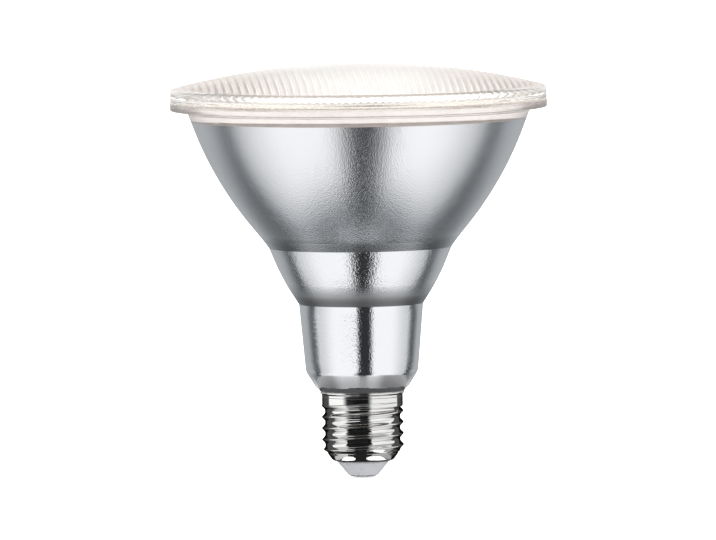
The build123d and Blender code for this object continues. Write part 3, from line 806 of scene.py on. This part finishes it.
# lighter outwards, under the shoulder of the neck
SHOULDER_CARD, t, b = material("card_shoulder", base_color=(0.01, 0.01, 0.01), roughness=0.9,
                               emission_color=(1.0, 1.0, 1.0))
sep = t.node("ShaderNodeSeparateXYZ")
t.put(sep.inputs[0], t.coords())
rad = t.math("SQRT", t.math("ADD", t.math("MULTIPLY", sep.outputs[0], sep.outputs[0]),
                            t.math("MULTIPLY", sep.outputs[1], sep.outputs[1])))
across = t.math("DIVIDE", sep.outputs[0], rad)
round_side = t.ramp(t.math("ABSOLUTE", t.math("ADD", across, 0.10)), 0.46, 0.80, 1.0, 0.42)
middle = t.math("MULTIPLY", t.ramp(t.math("ABSOLUTE", t.math("SUBTRACT", across, 0.03)), 0.20, 0.05),
                t.ramp(rad, 0.019, 0.028, 0.25, 0.85))
glow = t.math("MULTIPLY", t.ramp(rad, 0.0185, 0.029, 0.42, 0.90), round_side)
t.put(b.inputs["Emission Strength"], t.math("MULTIPLY", glow, t.math("SUBTRACT", 1.0, middle)))

# the backdrop behind the lens, dimmer and warmer to the sides
SKY_CARD, t, b = material("card_sky", base_color=(0.01, 0.01, 0.01), roughness=0.9)
sep = t.node("ShaderNodeSeparateXYZ")
t.put(sep.inputs[0], t.coords())
out = t.math("ABSOLUTE", sep.outputs[0])
t.put(b.inputs["Emission Strength"], t.ramp(out, 0.012, 0.056, 1.13, 0.80))
t.put(b.inputs["Emission Color"], t.colours(t.ramp(out, 0.012, 0.050), [(0.0, (1.0, 0.993, 0.975)), (1.0, (1.0, 0.935, 0.905))]))


def arc_floor(r0, r1, a0, a1, z, n=40):
    """A level strip on an arc, angles in degrees from -Y towards +X."""
    v, f = [], []
    for k in range(n + 1):
        a = math.radians(a0 + (a1 - a0) * k / n)
        v += [(r0 * math.sin(a), -r0 * math.cos(a), z), (r1 * math.sin(a), -r1 * math.cos(a), z)]
        if k:
            f.append((2 * k - 2, 2 * k - 1, 2 * k + 1, 2 * k))
    return v, f


def arc_lens(r, half, a0, a1, z, n=40):
    """A level strip on an arc that comes to a point at both ends."""
    v, f = [], []
    for k in range(n + 1):
        a = math.radians(a0 + (a1 - a0) * k / n)
        w = half * (0.02 + 0.98 * math.sin(math.pi * k / n) ** 0.7)
        v += [((r - w) * math.sin(a), -(r - w) * math.cos(a), z), ((r + w) * math.sin(a), -(r + w) * math.cos(a), z)]
        if k:
            f.append((2 * k - 2, 2 * k - 1, 2 * k + 1, 2 * k))
    return v, f


card("card_front", arc_wall(25.0, -40.0, 22.0, 0.0, 13.0))
card("card_front_low", arc_floor(13.3, 25.0, -40.0, 22.0, 0.0))
card("card_thread_left", arc_floor(13.3, 25.0, -100.0, -40.0, 0.0), LIGHT_CARD)
card("card_thread_right", arc_floor(13.3, 25.0, 22.0, 100.0, 0.0), DIM_CARD)
card("card_side_right", arc_wall(16.0, 73.8, 100.0, -5.0, 26.0), GREY_CARD)
card("card_side_left", arc_wall(16.0, 260.0, 290.5, -5.0, 26.0), GREY_CARD)
card("card_rear_right", arc_wall(15.7, 97.0, 124.0, -5.0, 26.0))
card("card_rear_left", arc_wall(15.7, 236.0, 263.0, -5.0, 26.0))
card("card_back_right", arc_wall(38.0, 126.0, 168.0, -4.0, 20.0), LIGHT_CARD)
card("card_back_left", arc_wall(38.0, 194.0, 234.0, -4.0, 20.0), LIGHT_CARD)
card("card_foot", arc_floor(5.0, 13.6, -180.0, 180.0, -0.1))
card("card_foot_back", arc_floor(9.3, 13.3, 80.0, 288.0, 0.0), GREY_CARD)
card("card_foot_left", arc_lens(12.45, 1.1, -70.0, -20.0, 0.0), WHITE_CARD)
card("card_foot_right", arc_lens(12.45, 1.1, 8.0, 78.0, 0.0), WHITE_CARD)
card("card_shoulder_low", arc_floor(13.45, 15.4, -180.0, 180.0, 25.5), GREY_CARD)
card("card_shoulder", arc_floor(17.5, 29.0, -180.0, 180.0, 20.0), SHOULDER_CARD)
card("card_thread_top", arc_floor(17.5, 29.0, -40.0, 22.0, 19.9))
card("card_thread_top_left", arc_floor(17.5, 29.0, -180.0, -40.0, 19.9), LIGHT_CARD)
card("card_thread_top_right", arc_floor(17.5, 29.0, 22.0, 180.0, 19.9), DIM_CARD)
card("card_sky", ([(-80.0, 110.0, 105.0), (80.0, 110.0, 105.0), (80.0, 110.0, 250.0), (-80.0, 110.0, 250.0)],
                  [(0, 1, 2, 3)]), SKY_CARD)

scene.view_settings.view_transform = "Standard"
scene.view_settings.look = "None"
scene.cycles.max_bounces = 24
scene.cycles.transmission_bounces = 20
scene.cycles.glossy_bounces = 12
scene.cycles.diffuse_bounces = 4
scene.cycles.transparent_max_bounces = 16
scene.cycles.sample_clamp_indirect = 6.0
scene.cycles.use_denoising = True
